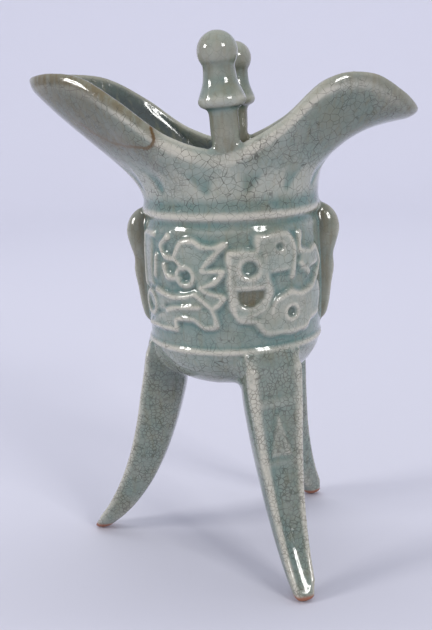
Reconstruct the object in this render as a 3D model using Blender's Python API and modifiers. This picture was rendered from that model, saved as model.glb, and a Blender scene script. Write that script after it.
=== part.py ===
"""A celadon tripod wine cup: one fired piece, a hollow round bowl with a leaf-shaped flaring mouth,
two capped posts on the rim, two ear fins, a carved belt and three sabre legs.

Run in Blender. It models the cup in metres, +Z up, the long way of the mouth along X (spout at +X,
tail at -X), standing on the soles of its feet at z = 0, centred on its box in plan.
"""

import math

import bmesh
import bpy
from mathutils import Vector

MM = 0.001

# Body sizes
WALL = 3.6 * MM                 # thickness of the wall, from the belt up to the lip
FLOOR = 4.0 * MM                # thickness of the bowl's bottom
BODY_RADIUS = 28.3 * MM         # outside of the belt where it meets the two ridges
BODY_BULGE = 0.6 * MM           # how far the belt swells half way up
BOTTOM_Z = 60.0 * MM            # lowest point of the bowl
LOW_RIDGE_Z = 76.0 * MM
TOP_RIDGE_Z = 118.2 * MM
RIDGE_PROUD = 1.0 * MM
RIDGE_WIDTH = 2.8 * MM
NECK_GAP = 2.8 * MM             # from the upper ridge to the start of the flare
SEGMENTS = 42                   # columns round the cup, three to a lappet

# Mouth sizes, measured on the middle of the lip
SPOUT_REACH = 58.4 * MM         # from the axis to the spout's tip
TAIL_REACH = 62.8 * MM          # from the axis to the tail's tip
MOUTH_HALF_WIDTH = 28.6 * MM
RIM_LOW_Z = 137.2 * MM          # the lip beside the posts
SPOUT_RISE = 20.2 * MM          # from there up to the spout's highest stretch
TAIL_RISE = 24.0 * MM

# The lip from the end of each flare to the post, as shares of its reach, half width and rise,
# at equal steps round the neck. The last point, at the post, is shared.
SPOUT_LIP = [(1.0, 0.0, 0.465), (0.986, 0.25, 0.545), (0.908, 0.48, 0.752), (0.753, 0.70, 1.0),
             (0.54, 0.895, 0.946), (0.283, 0.985, 0.347)]
TAIL_LIP = [(1.0, 0.0, 0.95), (0.963, 0.25, 0.98), (0.845, 0.497, 1.0), (0.677, 0.727, 0.92),
            (0.478, 0.93, 0.608), (0.247, 1.0, 0.175)]
# Pull of the flare's curve at the neck, along the way out and below the lip, as shares of the way
SIDE_CURVE = (0.35, 0.35, 0.35)
SPOUT_CURVE = (0.62, 0.71, 0.12)
TAIL_CURVE = (0.26, 0.40, 0.43)

# Lappets round the neck
LAPPETS = 14
LAPPET_DEPTH = 0.5 * MM         # how deep the wedges between them are
LAPPET_HEIGHT = 13.0 * MM

# Posts on the rim
POST_TOP_Z = 172.9 * MM
POST_STEM_RADIUS = 4.3 * MM
POST_BALL_RADIUS = 5.9 * MM
POST_WAIST_RADIUS = 5.1 * MM
POST_CAP_RADIUS = 7.0 * MM
POST_CAP_HEIGHT = 22.0 * MM     # from the cap's lower edge to the top of the ball
POST_COLUMNS = 12
FRONT_POST_LEAN = math.radians(-3.6)
REAR_POST_LEAN = math.radians(-0.5)
REAR_POST_SCALE = 0.95
FRONT_POST_SHIFT = 1.6 * MM     # the front post stands a little nearer the spout

# Ear fins below the two flares: height, reach from the axis, half thickness
EAR_SINK = 1.7 * MM             # how deep they are set in the wall
EAR_PROFILE = [(79.4, 28.6, 0.8), (81.0, 30.4, 1.5), (86.0, 31.8, 2.2), (92.0, 32.6, 2.4),
               (97.5, 33.5, 2.6), (102.0, 33.3, 2.6), (106.0, 34.4, 3.2), (110.5, 35.4, 3.7),
               (114.5, 34.6, 3.7), (117.4, 32.5, 2.9), (119.2, 29.6, 1.6)]

# Legs: reach and height of the outer and the inner edge and half width, from the hip to the sole
LEG_STATIONS = [((29.3, 75.4), (17.0, 71.0), 9.8), ((30.6, 71.0), (17.0, 66.0), 9.8),
                ((31.6, 63.0), (17.4, 59.6), 9.5), ((32.9, 55.0), (19.0, 52.5), 8.9),
                ((34.9, 45.0), (22.0, 42.5), 7.9), ((38.0, 33.5), (26.2, 31.5), 6.7),
                ((42.2, 22.5), (31.6, 20.8), 5.6), ((47.2, 12.8), (38.4, 11.2), 4.7),
                ((52.4, 5.2), (45.2, 4.2), 4.0), ((55.4, 1.2), (48.6, 1.2), 3.5)]
LEG_WRAP = 3.0                  # stations over which the face turns from round to flat
LEG_FOOT_REACH = 52.2 * MM      # middle of the sole, in the stations above
SOLE_BEVEL = 0.9 * MM
LEG_BORDER_DEPTH = 1.2 * MM     # how far the face lies below its two borders
LEG_BAND_Z = 59.5 * MM          # middle of a plain band across the face
LEG_BAND_HEIGHT = 3.2 * MM
LEG_BAND_DEPTH = 0.3 * MM       # how far the band lies below the borders
LEAF_GAP = 1.5 * MM             # from the band down to the pointed leaf's tip
LEAF_HEIGHT = 14.0 * MM
LEAF_HALF_WIDTH = 3.6 * MM
LEAF_PROUD = 0.8 * MM
# Each leg: azimuth of its hip, azimuth and reach of its sole
LEGS = {"front": (-61.0, -63.4, 48.5), "left": (180.0, 172.6, 52.6), "back": (60.0, 56.1, 44.0)}
LEG_CUT_MARGIN = 1.0 * MM       # wall left between a leg's root and the bowl's inside

# Carved belt: raised strokes, each a width in millimetres and its points as percent of a quarter
# turn (across) and of the carving's height (up)
CARVING_FOOT_Z = 81.0 * MM
CARVING_HEIGHT = 32.0 * MM
CARVING_PROUD = 1.0 * MM
CARVING_SINK = 0.8 * MM
CARVING_SLOPE = 0.35 * MM       # a stroke's top is narrower than its foot by this on each side
CARVING_STEP = 6.0 * MM         # longest straight piece of a stroke
PLATE_PROUD = 0.55 * MM         # the low plates that fill some figures between their strokes
BEAST = [
    (1.9, [(56, 97), (49, 88), (53, 78), (63, 76), (70, 67)]),
    (1.9, [(63, 80), (68, 92), (78, 94), (84, 89), (92, 88), (99, 91)]),
    (1.9, [(99, 91), (89, 76), (84, 66), (98, 65), (92, 55), (83, 49), (89, 44), (98, 39),
           (90, 28)]),
    (1.9, [(78, 43), (90, 28), (92, 12), (84, 10), (76, 18), (62, 16), (61, 6), (42, 6),
           (27, 5)]),
    (2.2, [(54, 24), (63, 28), (81, 30)]),
    (1.9, [(42, 43), (52, 40), (61, 38), (69, 39), (78, 43)]),
    (2.2, [(52, 69), (55, 59), (66, 57)]),
    (1.9, [(43, 77), (41, 58)]),
    (1.9, [(24, 45), (22, 72), (24, 97), (40, 98)]),
]
BEAST_RINGS = [(1.9, (71, 60), 2.9), (1.9, (33, 28), 3.6)]
# Plates: across, lower and upper edge at each station
BEAST_PLATES = [[(63, 66, 79), (75, 62, 91), (88, 72, 88)],
                [(60, 8, 24), (74, 18, 28), (84, 11, 30), (91, 14, 26)]]
MASK = [
    (2.4, [(3, 82), (3, 47), (5, 26), (10, 17), (20, 15), (26, 4), (38, 2), (60, 2), (66, 10),
           (77, 13)]),
    (2.4, [(3, 82), (21, 82), (23, 95), (44, 97), (50, 82), (48, 56)]),
    (3.0, [(27, 80), (27, 60), (29, 42), (26, 28), (18, 22), (10, 20)]),
    (2.4, [(5, 50), (27, 50)]),
    (2.2, [(31, 22), (33, 32), (46, 39), (56, 36), (70, 41), (82, 62), (75, 79), (66, 76),
           (55, 80), (56, 95)]),
    (2.2, [(56, 67), (65, 56)]),
]
MASK_RINGS = [(3.2, (16, 67), 3.6), (2.2, (47, 20), 2.5)]
MASK_PLATES = [[(3, 50, 81), (15, 50, 82), (27, 51, 80)],
               [(24, 78, 94), (34, 61, 96), (45, 61, 95), (50, 64, 80)]]

# Finish
GLAZE_COLOUR = (0.215, 0.285, 0.262, 1.0)
GLAZE_ROUGHNESS = 0.08

BELT_MID_Z = (LOW_RIDGE_Z + TOP_RIDGE_Z) / 2
NECK_Z = TOP_RIDGE_Z + NECK_GAP
# The rim's and the feet's boxes lie off the body's axis by these, so the cup is moved back by them
AXIS_X = (TAIL_REACH - SPOUT_REACH) / 2


def clear_scene():
    for thing in list(bpy.data.objects):
        bpy.data.objects.remove(thing, do_unlink=True)


def make_collection(name):
    collection = bpy.data.collections.new(name)
    bpy.context.scene.collection.children.link(collection)
    return collection


def make_glaze():
    glaze = bpy.data.materials.new("celadon_glaze")
    glaze.use_nodes = True
    shader = glaze.node_tree.nodes["Principled BSDF"]
    shader.inputs["Base Color"].default_value = GLAZE_COLOUR
    shader.inputs["Roughness"].default_value = GLAZE_ROUGHNESS
    shader.inputs["Metallic"].default_value = 0.0
    return glaze


def new_object(name, verts, faces, collection):
    mesh = bpy.data.meshes.new(name)
    mesh.from_pydata(verts, [], faces)
    bm = bmesh.new()
    bm.from_mesh(mesh)
    bmesh.ops.recalc_face_normals(bm, faces=bm.faces)
    bm.to_mesh(mesh)
    bm.free()
    for face in mesh.polygons:
        face.use_smooth = True
    thing = bpy.data.objects.new(name, mesh)
    collection.objects.link(thing)
    return thing


def loft(name, rings, collection, poles=(None, None)):
    """Skin closed rings of equal length. Each end closes on its pole, or with a flat face."""
    count = len(rings[0])
    verts = [point for ring in rings for point in ring]
    faces = []
    for row in range(len(rings) - 1):
        a, b = row * count, (row + 1) * count
        for i in range(count):
            j = (i + 1) % count
            faces.append((a + i, a + j, b + j, b + i))
    for pole, start in ((poles[0], 0), (poles[1], (len(rings) - 1) * count)):
        ring = list(range(start, start + count))
        if pole is None:
            faces.append(ring)
        else:
            verts.append(pole)
            faces.extend((ring[i], ring[(i + 1) % count], len(verts) - 1) for i in range(count))
    return new_object(name, verts, faces, collection)


def polar(radius, azimuth, z):
    return Vector((radius * math.cos(azimuth), radius * math.sin(azimuth), z))


def spline(points, place, closed=False):
    """Point on a smooth curve through the points; place counts points from the first."""
    count = len(points)
    last = count if closed else count - 1
    i = min(int(place), last - 1)
    t = place - i

    def at(k):
        return points[k % count] if closed else points[max(0, min(count - 1, k))]

    p0, p1, p2, p3 = at(i - 1), at(i), at(i + 1), at(i + 2)
    return (2 * p1 + (p2 - p0) * t + (2 * p0 - 5 * p1 + 4 * p2 - p3) * t * t
            + (3 * p1 - p0 - 3 * p2 + p3) * t ** 3) / 2


# Vessel

def belt_radius(z):
    half = (TOP_RIDGE_Z - LOW_RIDGE_Z) / 2
    share = max(-1.0, min(1.0, (z - BELT_MID_Z) / half))
    return BODY_RADIUS + BODY_BULGE * (1 - share * share)


def outside_profile():
    """Radius and height of the outside, from near the bottom's middle to the neck."""
    depth = LOW_RIDGE_Z - RIDGE_WIDTH / 2 - BOTTOM_Z
    rows = []
    for share_r, share_z in [(0.30, 0.035), (0.62, 0.19), (0.83, 0.44), (0.95, 0.74)]:
        rows.append((BODY_RADIUS * share_r, BOTTOM_Z + depth * share_z))
    rows += ridge_profile(LOW_RIDGE_Z)
    rows.append((belt_radius(BELT_MID_Z), BELT_MID_Z))
    return rows + ridge_profile(TOP_RIDGE_Z)


def ridge_profile(z):
    rows = []
    for share in (-1.0, -0.45, 0.45, 1.0):
        proud = RIDGE_PROUD * math.cos(share * math.pi / 2)
        rows.append((BODY_RADIUS + proud, z + share * RIDGE_WIDTH / 2))
    return rows


def inside_profile():
    """Radius and height of the inside, from the neck down to near the bottom's middle."""
    radius = BODY_RADIUS - WALL
    bottom = BOTTOM_Z + FLOOR
    depth = LOW_RIDGE_Z - BOTTOM_Z - RIDGE_WIDTH
    rows = [(radius, TOP_RIDGE_Z)]
    rows.append((belt_radius(BELT_MID_Z) - WALL, BELT_MID_Z))
    for share_r, share_z in [(1.0, 1.0), (0.90, 0.5), (0.64, 0.18), (0.30, 0.03)]:
        rows.append((radius * share_r, bottom + depth * share_z))
    return rows


def lip_points():
    """Closed loop of points on the middle of the lip, at equal steps round the neck."""
    def point(reach, rise, share):
        return Vector((share[0] * reach, share[1] * MOUTH_HALF_WIDTH,
                       RIM_LOW_Z + share[2] * rise))

    half = [point(SPOUT_REACH, SPOUT_RISE, s) for s in SPOUT_LIP]
    half.append(Vector((0, MOUTH_HALF_WIDTH, RIM_LOW_Z)))
    half += [point(-TAIL_REACH, TAIL_RISE, s) for s in reversed(TAIL_LIP)]
    return half + [Vector((p.x, -p.y, p.z)) for p in reversed(half[1:-1])]


def flare_point(lip, azimuth, share):
    """Middle of the flare's wall, from the neck (share 0) out to the lip (share 1)."""
    start = polar(BODY_RADIUS - WALL / 2, azimuth, NECK_Z)
    end = spline(lip, (azimuth / (2 * math.pi) % 1.0) * len(lip), closed=True)
    way = end - start
    along = math.cos(azimuth)
    goal = SPOUT_CURVE if along > 0 else TAIL_CURVE
    near = abs(along) ** 8
    pull = [side + (tip - side) * near for side, tip in zip(SIDE_CURVE, goal)]
    first = start + Vector((0, 0, pull[0] * way.z))
    second = end - Vector((pull[1] * way.x, pull[1] * way.y, pull[2] * way.z))
    t = share
    return (start * (1 - t) ** 3 + first * 3 * t * (1 - t) ** 2
            + second * 3 * t * t * (1 - t) + end * t ** 3)


def lappet_groove(azimuth, z):
    """Depth of the wedges between the lappets: widest at the top, closed at the foot."""
    up = (z - NECK_Z) / LAPPET_HEIGHT
    if up <= 0 or up >= 1:
        return 0.0
    off = abs((azimuth / (2 * math.pi) * LAPPETS) % 1.0 - 0.5) * 2
    return LAPPET_DEPTH if off > 1 - 0.6 * up else 0.0


def flare_rings():
    """Rings over the flare: outside going up, round the lip, and inside going down."""
    lip = lip_points()
    shares = [0.0, 0.12, 0.26, 0.42, 0.6, 0.8, 1.0]
    inside_shares = shares[::2]
    nudge = 0.01
    outside, edge, inside = [], [[], [], []], []
    for share in shares:
        low, high = [], []
        for i in range(SEGMENTS):
            azimuth = 2 * math.pi * i / SEGMENTS
            middle = flare_point(lip, azimuth, share)
            round_the_cup = (flare_point(lip, azimuth + nudge, share)
                             - flare_point(lip, azimuth - nudge, share))
            outward = (flare_point(lip, azimuth, min(1.0, share + nudge))
                       - flare_point(lip, azimuth, max(0.0, share - nudge)))
            normal = round_the_cup.cross(outward).normalized()
            groove = lappet_groove(azimuth, middle.z)
            high.append(middle + normal * (WALL / 2 - groove))
            low.append(middle - normal * WALL / 2)
            if share == 1.0:
                outward.normalize()
                for k, turn in enumerate((0.25, 0.5, 0.75)):
                    a = turn * math.pi
                    edge[k].append(middle + (normal * math.cos(a) + outward * math.sin(a)) * WALL / 2)
        outside.append(high)
        if share in inside_shares:
            inside.append(low)
    return outside + edge + inside[::-1]


def make_vessel(collection):
    def ring(radius, z):
        return [polar(radius, 2 * math.pi * i / SEGMENTS, z) for i in range(SEGMENTS)]

    rings = [ring(r, z) for r, z in outside_profile()]
    rings += flare_rings()
    rings += [ring(r, z) for r, z in inside_profile()]
    poles = (Vector((0, 0, BOTTOM_Z)), Vector((0, 0, BOTTOM_Z + FLOOR)))
    return loft("wine_cup", rings, collection, poles)


def make_bowl_core(collection):
    """The bowl's hollow, a little enlarged: it trims the legs' roots inside the wall."""
    rows = [(r + LEG_CUT_MARGIN, z - LEG_CUT_MARGIN) for r, z in inside_profile()]
    rings = [[polar(r, 2 * math.pi * i / SEGMENTS, z) for i in range(SEGMENTS)] for r, z in rows]
    pole = Vector((0, 0, BOTTOM_Z + FLOOR - LEG_CUT_MARGIN))
    return loft("bowl_core", rings, collection, (None, pole))


# Posts

def post_profile():
    """Radius and height below the top of the ball, from the top down."""
    rows = []
    for step in range(7):
        a = math.radians(90 - step * 21)
        rows.append((POST_BALL_RADIUS * math.cos(a), POST_BALL_RADIUS * (math.sin(a) - 1)))
    cap = -POST_CAP_HEIGHT
    rows += [(POST_WAIST_RADIUS, cap * 0.58), (POST_WAIST_RADIUS + 0.35 * MM, cap * 0.72),
             (POST_CAP_RADIUS - 0.5 * MM, cap * 0.88), (POST_CAP_RADIUS, cap * 0.955),
             (POST_CAP_RADIUS - 0.5 * MM, cap), (POST_STEM_RADIUS, cap - 1.4 * MM)]
    foot = RIM_LOW_Z - POST_TOP_Z
    rows += [(POST_STEM_RADIUS, foot + 2.6 * MM), (POST_STEM_RADIUS * 0.78, foot + 0.6 * MM),
             (WALL * 0.4, foot - 1.0 * MM), (0.0, foot - 1.4 * MM)]
    return rows


def make_post(name, side, shift, lean, scale, collection):
    """A lathed post with a ball, a bell-shaped cap and a stem, standing on the lip."""
    rows = post_profile()
    mesh = bpy.data.meshes.new(name)
    edges = [(i, i + 1) for i in range(len(rows) - 1)]
    foot = RIM_LOW_Z - POST_TOP_Z
    mesh.from_pydata([(r, 0, (z - foot) * scale) for r, z in rows], edges, [])
    post = bpy.data.objects.new(name, mesh)
    collection.objects.link(post)
    screw = post.modifiers.new("lathe", "SCREW")
    screw.steps = screw.render_steps = POST_COLUMNS
    screw.use_merge_vertices = True
    screw.merge_threshold = 0.00001
    screw.use_smooth_shade = True
    post.location = (shift, side * MOUTH_HALF_WIDTH, RIM_LOW_Z)
    post.rotation_euler = (0, lean, 0)
    return post


# Ears

def make_ear(name, side, collection):
    """An upright fin with a swelling head, rounded across, set in the wall under a flare."""
    root = BODY_RADIUS - EAR_SINK
    rings = []
    for z, reach, half in EAR_PROFILE:
        ring = [Vector((side * root, -side * half * MM, z * MM))]
        for step in range(7):
            a = math.radians(-90 + 30 * step)
            round_reach = min(half * MM * 1.3, reach * MM - root)
            ring.append(Vector((side * (reach * MM - round_reach * (1 - math.cos(a))),
                                side * half * MM * math.sin(a), z * MM)))
        ring.append(Vector((side * root, side * half * MM, z * MM)))
        rings.append(ring)
    return loft(name, rings, collection)


# Legs

def leg_frame(place, leg):
    """Outer and inner edge, half width and sideways direction at a place counted in stations."""
    hip, foot, foot_reach = leg
    outer = spline([Vector(o) * MM for o, i, w in LEG_STATIONS], place)
    inner = spline([Vector((*i, w)) * MM for o, i, w in LEG_STATIONS], place)
    share = place / (len(LEG_STATIONS) - 1)
    azimuth = math.radians(hip + (foot - hip) * share)
    shift = (foot_reach * MM - LEG_FOOT_REACH) * share * share
    across = Vector((-math.sin(azimuth), math.cos(azimuth), 0))
    return (polar(outer.x + shift, azimuth, outer.y), polar(inner.x + shift, azimuth, inner.y),
            inner.z, across)


def face_point(place, leg, off, proud):
    """A point over the leg's outer face: off its middle line, proud of its borders."""
    outer, inner, half, across = leg_frame(place, leg)
    out = (outer - inner).normalized()
    wrap = max(0.0, 1 - place / LEG_WRAP)
    fall = BODY_RADIUS - math.sqrt(max(0.0, BODY_RADIUS ** 2 - off ** 2))
    return outer + across * off + out * (proud - wrap * fall)


def leg_ring(place, leg, depth):
    """One ring of a leg: a blade with a sunk face between two borders, thin and round inside."""
    outer, inner, half, across = leg_frame(place, leg)
    face = [(0.5, -depth), (0.66, 0.0), (0.88, 0.0)]
    side = [(0.92, 1.0), (0.5, 0.95), (0.15, 0.74), (0.0, 0.36)]
    right = [face_point(place, leg, w * half, proud) for w, proud in face]
    left = [face_point(place, leg, -w * half, proud) for w, proud in face]
    middle = face_point(place, leg, 0.0, -depth)
    right += [inner + (outer - inner) * s + across * half * w for s, w in side]
    left += [inner + (outer - inner) * s - across * half * w for s, w in side]
    return [middle] + right + left[::-1]


def place_at_height(z):
    """The place, counted in stations, where the leg's outer edge is at this height."""
    low, high = 0.0, len(LEG_STATIONS) - 1.0
    points = [Vector(o) * MM for o, i, w in LEG_STATIONS]
    for _ in range(30):
        half_way = (low + high) / 2
        if spline(points, half_way).y > z:
            low = half_way
        else:
            high = half_way
    return low


def leg_face_depth(place):
    """Depth of the face below its borders, running out at the hip and at the sole."""
    share = place / (len(LEG_STATIONS) - 1)
    return LEG_BORDER_DEPTH * min(1.0, (1 - share) * 4, share * 4)


def make_leg(name, leg, core, collection):
    last = len(LEG_STATIONS) - 1
    rows = [(place, leg_face_depth(place)) for place in range(last + 1)]
    top = place_at_height(LEG_BAND_Z + LEG_BAND_HEIGHT / 2)
    foot = place_at_height(LEG_BAND_Z - LEG_BAND_HEIGHT / 2)
    slope = 0.06
    rows += [(top - slope, leg_face_depth(top)), (top, LEG_BAND_DEPTH),
             (foot, LEG_BAND_DEPTH), (foot + slope, leg_face_depth(foot))]
    rings = [leg_ring(place, leg, depth) for place, depth in sorted(rows)]
    middle = sum(rings[-1], Vector()) / len(rings[-1])
    inset = 1 - SOLE_BEVEL / (LEG_STATIONS[-1][2] * MM)
    sole = [middle + (p - middle) * inset for p in rings[-1]]
    rings.append([Vector((p.x, p.y, 0)) for p in sole])
    body = loft(name, rings, collection)
    trim = body.modifiers.new("trim_root", "BOOLEAN")
    trim.operation = "DIFFERENCE"
    trim.solver = "EXACT"
    trim.object = core
    make_leaf(f"{name}_leaf", leg, collection)


def make_leaf(name, leg, collection):
    """A low pointed leaf on the leg's face, below the band."""
    tip_z = LEG_BAND_Z - LEG_BAND_HEIGHT / 2 - LEAF_GAP
    rings = []
    for share in (0.0, 0.5, 0.95, 1.0):
        place = place_at_height(tip_z - share * LEAF_HEIGHT)
        floor = -leg_face_depth(place)
        half = LEAF_HALF_WIDTH * (0.12 + 0.88 * share)
        top = 0.3 if share in (0.0, 1.0) else 1.0
        rings.append([face_point(place, leg, -half, floor - LEAF_PROUD),
                      face_point(place, leg, -half * 0.75, floor + LEAF_PROUD * 0.6 * top),
                      face_point(place, leg, 0.0, floor + LEAF_PROUD * top),
                      face_point(place, leg, half * 0.75, floor + LEAF_PROUD * 0.6 * top),
                      face_point(place, leg, half, floor - LEAF_PROUD)])
    loft(name, rings, collection)


# Carving

def stroke_outline(path, half):
    """Left and right edges of a stroke, mitred at its corners."""
    left, right = [], []
    for i, here in enumerate(path):
        before = (here - path[i - 1]).normalized() if i else None
        after = (path[i + 1] - here).normalized() if i < len(path) - 1 else None
        before, after = before or after, after or before
        mean = (before + after).normalized()
        across = Vector((-mean.y, mean.x))
        reach = half / max(0.6, mean.dot(before))
        left.append(here + across * reach)
        right.append(here - across * reach)
    return left, right


def on_belt(point, quarter, proud):
    """From a point on the unrolled belt (way round, height) to the cup."""
    azimuth = quarter * math.pi / 2 + point.x / BODY_RADIUS
    return polar(belt_radius(point.y) + proud, azimuth, point.y)


def unroll(share):
    return Vector((share[0] / 100 * math.pi / 2 * BODY_RADIUS,
                   CARVING_FOOT_Z + share[1] / 100 * CARVING_HEIGHT))


def divided(path):
    fine = [path[0]]
    for start, end in zip(path, path[1:]):
        parts = math.ceil((end - start).length / CARVING_STEP)
        fine += [start.lerp(end, k / parts) for k in range(1, parts + 1)]
    return fine


def make_stroke(name, width, path, quarter, closed, collection):
    """A raised stroke with sloping sides, sunk a little in the wall."""
    half = width * MM / 2
    path = path if closed else divided(path)
    if closed:
        around = [path[-1]] + path + [path[0]]
        foot = [edge[1:-1] for edge in stroke_outline(around, half)]
        top = [edge[1:-1] for edge in stroke_outline(around, half - CARVING_SLOPE)]
    else:
        foot = stroke_outline(path, half)
        top = stroke_outline(path, half - CARVING_SLOPE)
    rings = []
    for i in range(len(path)):
        rings.append([on_belt(foot[0][i], quarter, -CARVING_SINK),
                      on_belt(top[0][i], quarter, CARVING_PROUD),
                      on_belt(top[1][i], quarter, CARVING_PROUD),
                      on_belt(foot[1][i], quarter, -CARVING_SINK)])
    if not closed:
        return loft(name, rings, collection)
    verts = [p for ring in rings for p in ring]
    faces = []
    for i in range(len(rings)):
        a, b = 4 * i, 4 * ((i + 1) % len(rings))
        faces += [(a + k, a + (k + 1) % 4, b + (k + 1) % 4, b + k) for k in range(4)]
    return new_object(name, verts, faces, collection)


def make_plate(name, stations, quarter, collection):
    """A low plate with sloping upper and lower edges."""
    rings = []
    for across, low, high in stations:
        foot, head = unroll((across, low)), unroll((across, high))
        slope = Vector((0, CARVING_SLOPE))
        rings.append([on_belt(foot, quarter, -CARVING_SINK),
                      on_belt(foot + slope, quarter, PLATE_PROUD),
                      on_belt(head - slope, quarter, PLATE_PROUD),
                      on_belt(head, quarter, -CARVING_SINK)])
    loft(name, rings, collection)


def make_quarter(name, strokes, rings, plates, quarter, collection):
    for i, stations in enumerate(plates):
        make_plate(f"{name}_plate_{i}", stations, quarter, collection)
    for i, (width, shares) in enumerate(strokes):
        path = [unroll(s) for s in shares]
        make_stroke(f"{name}_stroke_{i}", width, path, quarter, False, collection)
    for i, (width, centre, radius) in enumerate(rings):
        middle = unroll(centre)
        path = [middle + Vector((math.cos(a), math.sin(a))) * radius * MM
                for a in (2 * math.pi * k / 8 for k in range(8))]
        make_stroke(f"{name}_ring_{i}", width, path, quarter, True, collection)


def make_carving(collection):
    """The beast fills the quarter behind each ear's left, the mask the next; both come twice."""
    for turn in (0, 1):
        make_quarter(f"beast_{turn}", BEAST, BEAST_RINGS, BEAST_PLATES, 2 + 2 * turn, collection)
        make_quarter(f"mask_{turn}", MASK, MASK_RINGS, MASK_PLATES, 3 + 2 * turn, collection)


def main():
    clear_scene()
    cup_parts = make_collection("celadon_tripod_wine_cup")
    cutters = make_collection("construction")
    added = make_collection("added_to_the_cup")

    cup = make_vessel(cup_parts)
    cup.data.materials.append(make_glaze())
    core = make_bowl_core(cutters)
    make_post("front_post", -1, FRONT_POST_SHIFT, FRONT_POST_LEAN, 1.0, added)
    make_post("rear_post", 1, 0.0, REAR_POST_LEAN, REAR_POST_SCALE, added)
    make_ear("spout_ear", 1, added)
    make_ear("tail_ear", -1, added)
    for name, leg in LEGS.items():
        make_leg(f"{name}_leg", leg, core, added)
    make_carving(added)

    join = cup.modifiers.new("join_the_clay", "BOOLEAN")
    join.operation = "UNION"
    join.solver = "EXACT"
    join.operand_type = "COLLECTION"
    join.collection = added
    for collection in (cutters, added):
        for thing in collection.objects:
            thing.hide_render = True
            thing.display_type = "WIRE"

    footing = bpy.data.objects.new("footing", None)
    cup_parts.objects.link(footing)
    reach = {name: math.sin(math.radians(leg[1])) * leg[2] * MM for name, leg in LEGS.items()}
    footing.location = (AXIS_X, -(reach["front"] + reach["back"]) / 2, 0)
    for thing in [cup, *cutters.objects, *added.objects]:
        thing.parent = footing


main()
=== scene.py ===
"""The looks of the celadon tripod wine cup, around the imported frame.

The cup is one fired piece, so it is one mesh: fine lofts of the bowl, posts, ears and legs are
melted together as thick glaze does, and the glaze's colour follows how thick it lies.
Sizes are in millimetres and the cup is placed in metres.
"""

import math

import bpy
import numpy as np
from mathutils import Matrix, Vector
from mathutils.kdtree import KDTree


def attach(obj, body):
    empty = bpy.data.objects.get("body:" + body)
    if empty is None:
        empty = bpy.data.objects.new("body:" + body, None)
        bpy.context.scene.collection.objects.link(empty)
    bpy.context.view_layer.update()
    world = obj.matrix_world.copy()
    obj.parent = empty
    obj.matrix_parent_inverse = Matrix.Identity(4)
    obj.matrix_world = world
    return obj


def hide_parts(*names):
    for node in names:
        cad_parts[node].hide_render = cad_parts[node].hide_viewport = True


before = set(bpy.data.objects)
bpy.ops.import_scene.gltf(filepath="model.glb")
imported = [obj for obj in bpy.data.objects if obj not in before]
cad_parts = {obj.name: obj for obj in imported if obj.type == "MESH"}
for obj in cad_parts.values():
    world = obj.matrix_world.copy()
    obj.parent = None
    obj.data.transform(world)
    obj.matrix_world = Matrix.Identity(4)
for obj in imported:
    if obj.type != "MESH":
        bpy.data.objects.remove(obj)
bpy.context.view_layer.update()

MM = 0.001

# Sizes of the cup, as in the frame
WALL = 3.6
FLOOR = 4.0
BODY_RADIUS = 28.3
BODY_BULGE = 0.6
BOTTOM_Z = 60.0
# The bowl's bottom, outside and inside, as shares of its radius and of its height
OUTER_BOTTOM = [(0.30, 0.035), (0.62, 0.19), (0.83, 0.44), (0.95, 0.74)]
INNER_BOTTOM = [(0.30, 0.03), (0.64, 0.18), (0.90, 0.5)]
LOW_RIDGE_Z = 76.0
TOP_RIDGE_Z = 118.2
RIDGE_PROUD = 0.8
RIDGE_WIDTH = 2.8
UPPER_FLANK = 4.4               # how far up the upper ridge's flank runs out
NECK_EASE = 14.0                # and how far up the neck stays a little wider for it
GROOVE_Z = 115.8                # a soft groove just below the upper ridge
GROOVE_DEPTH = 0.55
GROOVE_HALF = 2.3
NECK_Z = TOP_RIDGE_Z + 2.8
SPOUT_REACH = 58.4
TAIL_REACH = 62.8
MOUTH_HALF_WIDTH = 28.6
RIM_LOW_Z = 137.2
LIP_ROLL = 4.2                  # how far below its edge the lip starts to turn over, outside
SPOUT_RISE = 20.2
TAIL_RISE = 24.0
# The lip, from each tip to the waist, as shares of reach, half width and rise
SPOUT_LIP = [(1.0, 0.0, 0.465), (0.986, 0.25, 0.545), (0.908, 0.48, 0.752), (0.753, 0.70, 1.0),
             (0.54, 0.895, 0.946), (0.283, 0.985, 0.347)]
TAIL_LIP = [(1.0, 0.0, 0.95), (0.963, 0.25, 0.98), (0.845, 0.497, 1.0), (0.677, 0.727, 0.92),
            (0.478, 0.93, 0.608), (0.247, 1.0, 0.175)]
# How far the flare's curves are pulled up at the neck, and outward and up at the lip
SIDE_CURVE = np.array((0.35, 0.35, 0.35))
SPOUT_CURVE = np.array((0.62, 0.71, 0.12))
TAIL_CURVE = np.array((0.26, 0.40, 0.43))
TAIL_SIDE_CURVE = np.array((0.35, 0.20, 0.42))

# The wedges between the lappets, pressed by hand and so unevenly spaced: azimuths in degrees
LAPPET_GAPS = (1, 26, 52, 77, 102, 129, 154, 179, 205, 230, 261, 283, 310, 335)
LAPPET_FOOT_Z = NECK_Z + 4.0
LAPPET_HEIGHT = 9.5
LAPPET_RISE = 4.0               # how much higher they reach under the spout and tail
LAPPET_DEPTH = 0.35
NECK_BAND_HEIGHT = 4.6          # the sunk band between the upper ridge and the lappets
NECK_BAND_DEPTH = 0.12

POST_TOP_Z = 172.9
POST_STEM_RADIUS = 4.3
POST_BALL_RADIUS = 6.05
POST_WAIST_RADIUS = 4.85
POST_CAP_RADIUS = 7.2
POST_CAP_HEIGHT = 22.0
POST_INSET = 2.2                # the posts stand this far inside the lip, and lean out again
POST_SPREAD = 0.35              # by this share of it at their tops
POST_COLUMNS = 64
# Each post: side, shift along the mouth, lean and scale
POSTS = [(-1, 1.6, math.radians(-3.6), 1.0), (1, 0.4, math.radians(0.5), 0.98)]

EAR_SINK = 1.7
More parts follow.
